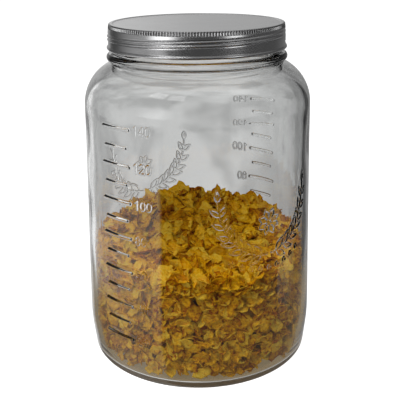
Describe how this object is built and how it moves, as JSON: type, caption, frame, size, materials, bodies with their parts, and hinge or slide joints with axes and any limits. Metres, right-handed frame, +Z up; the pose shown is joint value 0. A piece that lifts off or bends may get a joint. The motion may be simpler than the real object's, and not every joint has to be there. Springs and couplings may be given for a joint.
{
  "type": "glass storage jar",
  "caption": "Large round clear glass storage jar with a screw-on brushed steel lid, about a third full of golden breakfast flakes.",
  "frame": {"origin": "centre of the ring that the jar stands on", "axes": "+Z up along the jar's axis, -Y towards the viewer's side"},
  "size_m": [0.1776, 0.1776, 0.2593],
  "materials": {
    "glass": "clear, thick, moulded, slightly uneven",
    "lid_metal": "satin brushed, fine knurl at the top edge",
    "flakes": "dry toasted flakes, matt with a faint sheen"
  },
  "bodies": {
    "root": {"glass_jar": "glass", "lid": "lid_metal", "flakes": "flakes"}
  },
  "joints": []
}
